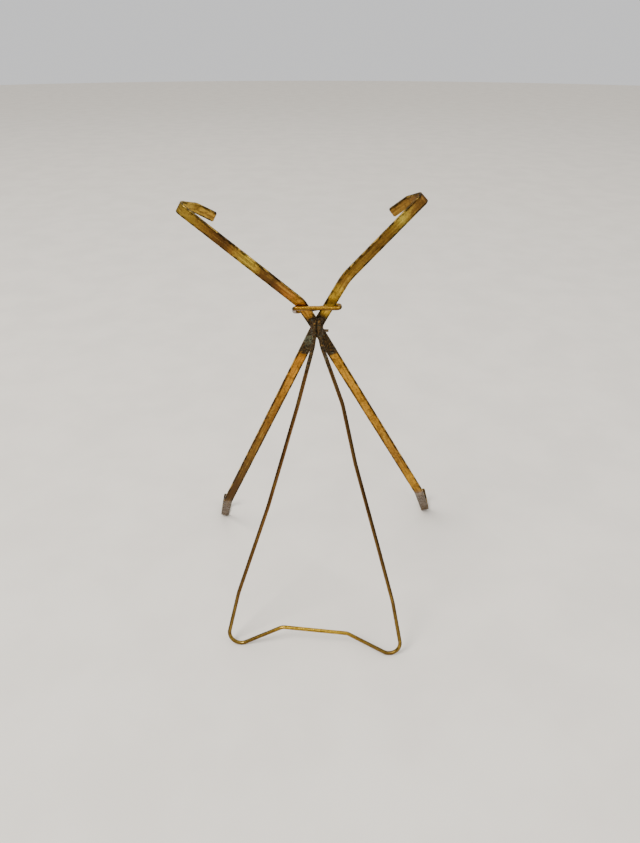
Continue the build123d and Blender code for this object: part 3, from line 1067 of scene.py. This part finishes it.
def leg_route(sizes):
    """The edges that the leg's wire follows."""
    wire = sizes.leg_wire / MM
    pin_height = PIN.z / MM
    twist = tan(radians(LEG_TWIST))
    angle = radians(LEG_ANGLE)
    reach = (pin_height - wire / 2 - TWIST_DROP) / cos(angle)

    def on_leg(x, down):
        back = down * sin(angle) - x * twist * down / reach
        return PIN + Vector((x, back, -down * cos(angle))) * MM

    right_end = (RIGHT_BAR_END, reach - RIGHT_BAR_RISE)
    left_end = (LEFT_BAR_END, reach - LEFT_BAR_RISE)
    right_corner = foot_corner(RIGHT_SIDE[-1], right_end, RIGHT_FOOT, reach)
    left_corner = foot_corner(LEFT_SIDE[-1], left_end, LEFT_FOOT, reach)
    corners = [(EYE_X, EYE_RADIUS)] + RIGHT_SIDE + [right_corner, right_end]
    corners += [left_end, left_corner] + LEFT_SIDE[::-1] + [(-EYE_X, EYE_RADIUS)]
    bends = [EYE_BEND] + [SIDE_BEND] * (len(RIGHT_SIDE) - 1)
    bends += [FOOT_BEND, BAR_BEND, BAR_BEND, FOOT_BEND]
    bends += [SIDE_BEND] * (len(LEFT_SIDE) - 1) + [EYE_BEND]
    route = [on_leg(x, down) for x, down in corners]
    main = rounded_path(route, [bend * MM for bend in bends], LEG_STEP * MM)

    def main_tone(point, done, total):
        shift = 3.0 * wander(point, 9.0) + 1.2 * wander(point, 2.2)
        if done < total / 2:
            return tone_at(LEG_RIGHT_TONES, done + shift)
        return tone_at(LEG_LEFT_TONES, total - done + shift)

    def eye_tone(point, done, total):
        return Vector(linear(EYE_TONE))

    def tarnish(point):
        return 1 - smooth((PIN.z - point.z) / MM + 1.5 * wander(point, 1.5), *LEG_TARNISH)

    runs = [(main, False, main_tone, False, tarnish)]
    for x in (-EYE_X, EYE_X):
        loop = [
            PIN + (RIGHT * x + (BACK * cos(a) + UP * sin(a)) * EYE_RADIUS) * MM
            for a in [2 * pi * step / EYE_CUTS for step in range(EYE_CUTS)]
        ]
        tail_way = (UP * TAIL_RISE - BACK * TAIL_FORWARD).normalized()
        tail_end = sqrt(TAIL_RISE**2 + TAIL_FORWARD**2) + wire / 2
        tail = [
            PIN + (RIGHT * x + tail_way * (EYE_RADIUS + (tail_end - EYE_RADIUS) * s / TAIL_CUTS)) * MM
            for s in range(TAIL_CUTS + 1)
        ]
        runs.append((loop, True, eye_tone, False, tarnish))
        runs.append((tail, False, eye_tone, True, tarnish))
    return route_object("leg_route", runs)


def foot_corner(side_point, bar_end, foot_x, reach):
    """Where a side and the foot's rise would meet, if the foot had no round."""
    centre = (foot_x, reach - FOOT_BEND)

    def tangent_angle(point, turn):
        dx, dy = centre[0] - point[0], centre[1] - point[1]
        return atan2(dy, dx) + turn * asin(FOOT_BEND / sqrt(dx * dx + dy * dy))

    outside = -1 if foot_x > 0 else 1
    side_angle = tangent_angle(side_point, outside)
    bar_angle = tangent_angle(bar_end, -outside)
    gap_x, gap_y = bar_end[0] - side_point[0], bar_end[1] - side_point[1]
    across = cos(side_angle) * sin(bar_angle) - sin(side_angle) * cos(bar_angle)
    run = (gap_x * sin(bar_angle) - gap_y * cos(bar_angle)) / across
    return (side_point[0] + run * cos(side_angle), side_point[1] + run * sin(side_angle))


class EASEL_OT_ring(bpy.types.Operator):
    """Make the wire ring that slips over the neck"""

    bl_idname = "easel.ring"
    bl_label = "Slip Ring"

    def execute(self, context):
        sizes, colours = easel(context)
        # The last figure is the strength of the painted shade on the ring's underside and outer sides.
        finish = drawn_brass("ring_brass_bright", colours, 0.8, 0.35, 0.0, 0.22, 0.95)
        corners = [
            beside(RING_HALF, RING_BACK, RING_REAR_UP),
            beside(RING_HALF, -RING_BACK, RING_RIGHT_UP),
            beside(-RING_HALF, -RING_BACK, RING_LEFT_UP),
            beside(-RING_HALF, RING_BACK, RING_REAR_UP),
        ]
        loop = rounded_path(corners, [RING_BEND * MM] * 4, RING_STEP * MM, closed=True)

        def ring_tone(point, done, total):
            return tone_at(RING_TONES, done + 2.0 * wander(point, 4.0))

        def clean(point):
            return 0.0

        source = route_object("ring_route", [(loop, True, ring_tone, False, clean)])
        ring = grown(source, "slip_ring_wire", wire_tree(), Finish=finish, **{
            "Wire Diameter": sizes.ring_wire, "Sides": RING_SIDES, "Lumps": sizes.wire_lumps, "Seed": 8,
        })
        bpy.data.objects.remove(source)
        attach(ring, "ring")
        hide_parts("slip_ring")
        return {"FINISHED"}


class EASEL_OT_hinge(bpy.types.Operator):
    """Make the rivet, washer and hinge pin, and finish the saddle"""

    bl_idname = "easel.hinge"
    bl_label = "Rivet and Hinge"

    def execute(self, context):
        sizes, colours = easel(context)
        dark = tarnished_brass("hinge_tarnish", colours, 0.8, 0.5)
        shank = sizes.rivet_diameter / 2 / MM
        head = sizes.head_diameter / 2 / MM
        outline = [(AXIS_FLAT, HEAD_CROWN), (1.2, HEAD_CROWN + 0.03)]
        outline += quarter((head - HEAD_ROUND, HEAD_ROUND_AT), HEAD_ROUND, -110, 0)[1:]
        outline += [(head, HEAD_SEAT - 0.03), (head - 0.06, HEAD_SEAT), (shank, HEAD_SEAT)]
        outline += [(shank, TAIL_SEAT), (head - 0.08, TAIL_SEAT + 0.02), (head, TAIL_SEAT + 0.08)]
        outline += quarter((head - TAIL_ROUND, TAIL_ROUND_AT), TAIL_ROUND, 0, 80)
        outline += [(1.2, TAIL_CROWN + 0.07), (0.7, TAIL_CROWN + 0.02), (AXIS_FLAT, TAIL_CROWN)]

        rim = WASHER_RADIUS - 0.06
        ring = [
            (WASHER_BORE, WASHER_FRONT), (rim, WASHER_FRONT), (WASHER_RADIUS, WASHER_FRONT + 0.07),
            (WASHER_RADIUS, WASHER_REAR - 0.06), (rim, WASHER_REAR), (WASHER_BORE, WASHER_REAR),
            (WASHER_BORE, WASHER_FRONT),
        ]

        low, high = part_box("hinge_pin")
        left = (low[0] - PIN.x) / MM
        right = (high[0] - PIN.x) / MM
        radius = sizes.pin_diameter / 2 / MM
        edge = PIN_END_ROUND
        rod = [(AXIS_FLAT, left + 0.03)] + quarter((radius - edge, left + edge), edge, -90, 0)
        rod += quarter((radius - edge, right - edge), edge, 0, 90) + [(AXIS_FLAT, right - 0.03)]

        plans = [
            ("hammered_rivet", "pivot_rivet", filled(outline, 0.18), RIVET, BACK, 0.05, 4.0),
            ("strip_washer", "spacer_washer", filled(ring, 0.3), RIVET, BACK, 0.01, 2.0),
            ("hinge_pin_worn", "hinge_pin", filled(rod, 0.2), PIN, RIGHT, 0.03, 6.0),
        ]
        for name, node_name, shape, origin, axis, unevenness, seed in plans:
            piece = turned_piece(name, shape, origin, axis, unevenness, seed, dark)
            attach(piece, "frame")
            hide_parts(node_name)

        saddle = frame["nodes"]["hinge_saddle"]
        finish = tarnished_brass("saddle_tarnish", colours, 0.9, 0.35)
        if saddle.data.materials:
            for slot in saddle.material_slots:
                slot.material = finish
        else:
            saddle.data.materials.append(finish)
        return {"FINISHED"}


class EASEL_OT_crust(bpy.types.Operator):
    """Scatter dry crust over the crossing and the lower ends"""

    bl_idname = "easel.crust"
    bl_label = "Dry Crust"

    def execute(self, context):
        sizes, colours = easel(context)
        finish = tarnished_brass("dry_crust", colours, 1.0, 0.0)
        tree = crust_tree()
        plans = [("rear_strip_worn", "crust_on_rear_strip", "frame", 11),
                 ("front_strip_worn", "crust_on_front_strip", "scissor_arm", 12),
                 ("wire_leg", "crust_on_leg", "leg", 13)]
        for base, name, body, seed in plans:
            source = bpy.data.objects.new(name + "_base", bpy.data.objects[base].data.copy())
            bpy.context.collection.objects.link(source)
            keep_open_faces(source.data, body)
            piece = grown(source, name, tree, Finish=finish, **{
                "Grain Size": sizes.grain_size, "Seed": seed,
            })
            bpy.data.objects.remove(source)
            if not piece.data.polygons:
                raise RuntimeError(f"{name} came out empty")
            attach(piece, body)
        return {"FINISHED"}


def keep_open_faces(mesh, body):
    """Marks where crust may lie, on tarnish that no other piece slides over."""
    oxide = mesh.attributes["oxide"].data
    values = []
    for index, vertex in enumerate(mesh.vertices):
        away = vertex.co - RIVET
        near = Vector((away.x, 0, away.dot(UP))).length / MM
        facing = vertex.normal.dot(BACK)
        if body == "frame":
            is_open = facing > -0.2 and near > 3.6
        elif body == "scissor_arm":
            is_open = near > 7.5 or facing < 0.2 and near > 3.0
        else:
            is_open = near > 4.5
        values.append(min(1.0, oxide[index].value) if is_open else 0.0)
    store(mesh, "crust", values)


class EASEL_OT_stage(bpy.types.Operator):
    """Set the floor, lights and camera"""

    bl_idname = "easel.stage"
    bl_label = "Stage"

    def execute(self, context):
        floor_mesh = floor_piece(cad_box[0][2])
        finish_faces(floor_mesh, plain_floor(context.scene.easel_colours))
        set_world(context.scene)
        for light in LIGHTS:
            soft_light(*light)
        add_camera(context.scene)
        return {"FINISHED"}


def floor_piece(height):
    """A round floor with rings of faces, so that it shades evenly."""
    sides = FLOOR_SIDES
    vertices = [Vector((0, 0, height))]
    faces = []
    for ring in FLOOR_RINGS[1:]:
        for side in range(sides):
            angle = 2 * pi * side / sides
            vertices.append(Vector((ring * cos(angle), ring * sin(angle), height)))
    for side in range(sides):
        faces.append((0, 1 + side, 1 + (side + 1) % sides))
    for ring in range(len(FLOOR_RINGS) - 2):
        first, second = 1 + ring * sides, 1 + (ring + 1) * sides
        for side in range(sides):
            beyond = (side + 1) % sides
            faces.append((first + side, second + side, second + beyond, first + beyond))
    return new_piece("pale_floor", vertices, faces)


def set_world(scene):
    """Light that is pale overhead and dim at the sides, behind a plain grey backdrop."""
    world = bpy.data.worlds.new("studio")
    world.use_nodes = True
    tree = world.node_tree
    background = tree.nodes["Background"]
    places = tree.nodes.new("ShaderNodeTexCoord").outputs["Generated"]
    split = tree.nodes.new("ShaderNodeSeparateXYZ")
    tree.links.new(places, split.inputs[0])
    sky = blend(tree, between(tree, split.outputs[2], 0.08, 0.55), DIM_SIDES, PALE_OVERHEAD)
    seen = tree.nodes.new("ShaderNodeLightPath").outputs["Is Camera Ray"]
    sky = blend(tree, seen, sky, BACKDROP)
    tree.links.new(sky, background.inputs["Color"])
    background.inputs["Strength"].default_value = 1.0
    scene.world = world


def soft_light(name, place, size, power, tint):
    """One square soft light turned toward the easel."""
    light = bpy.data.lights.new(name, "AREA")
    light.shape = "SQUARE"
    light.size = size
    light.energy = power
    light.color = tint
    lamp = bpy.data.objects.new(name, light)
    bpy.context.collection.objects.link(lamp)
    lamp.location = place
    lamp.rotation_euler = (LIT_PLACE - place).to_track_quat("-Z", "Y").to_euler()


def add_camera(scene):
    """The camera behind the easel and above it, looking down past the crossing."""
    camera = bpy.data.cameras.new("viewer")
    camera.sensor_fit = "VERTICAL"
    camera.sensor_height = CAMERA_SENSOR
    camera.lens = CAMERA_LENS
    camera.clip_start = 0.01
    camera.clip_end = 20.0
    side = CAMERA_LOOK.cross(CAMERA_UP).normalized()
    upward = side.cross(CAMERA_LOOK).normalized()
    viewer = bpy.data.objects.new("viewer", camera)
    bpy.context.collection.objects.link(viewer)
    turn = Matrix((side, upward, -CAMERA_LOOK)).transposed()
    viewer.matrix_world = Matrix.Translation(CAMERA_PLACE) @ turn.to_4x4()
    scene.camera = viewer


class EASEL_PT_panel(bpy.types.Panel):
    """Lists what the easel is made of"""

    bl_idname = "EASEL_PT_panel"
    bl_label = "Plate Easel"
    bl_space_type = "VIEW_3D"
    bl_region_type = "UI"
    bl_category = "Plate Easel"

    def draw(self, context):
        sizes, colours = easel(context)
        for title, group in (("Sizes", sizes), ("Colours", colours)):
            box = self.layout.box()
            box.label(text=title)
            for name in type(group).__annotations__:
                box.prop(group, name)
        for operator in STEPS:
            self.layout.operator(operator.bl_idname)


STEPS = (EASEL_OT_strips, EASEL_OT_leg, EASEL_OT_ring, EASEL_OT_hinge, EASEL_OT_crust, EASEL_OT_stage)
CLASSES = (EaselSizes, EaselColours, *STEPS, EASEL_PT_panel)


def register():
    """Registers the classes and the scene's settings."""
    for item in CLASSES:
        bpy.utils.register_class(item)
    bpy.types.Scene.easel_sizes = bpy.props.PointerProperty(type=EaselSizes)
    bpy.types.Scene.easel_colours = bpy.props.PointerProperty(type=EaselColours)


def unregister():
    """Takes the classes and the settings away again."""
    del bpy.types.Scene.easel_colours
    del bpy.types.Scene.easel_sizes
    for item in reversed(CLASSES):
        bpy.utils.unregister_class(item)


def main():
    """Makes the whole easel and its stage."""
    register()
    bpy.ops.easel.strips()
    bpy.ops.easel.leg()
    bpy.ops.easel.ring()
    bpy.ops.easel.hinge()
    bpy.ops.easel.crust()
    bpy.ops.easel.stage()
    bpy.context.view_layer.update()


if __name__ == "__main__":
    main()
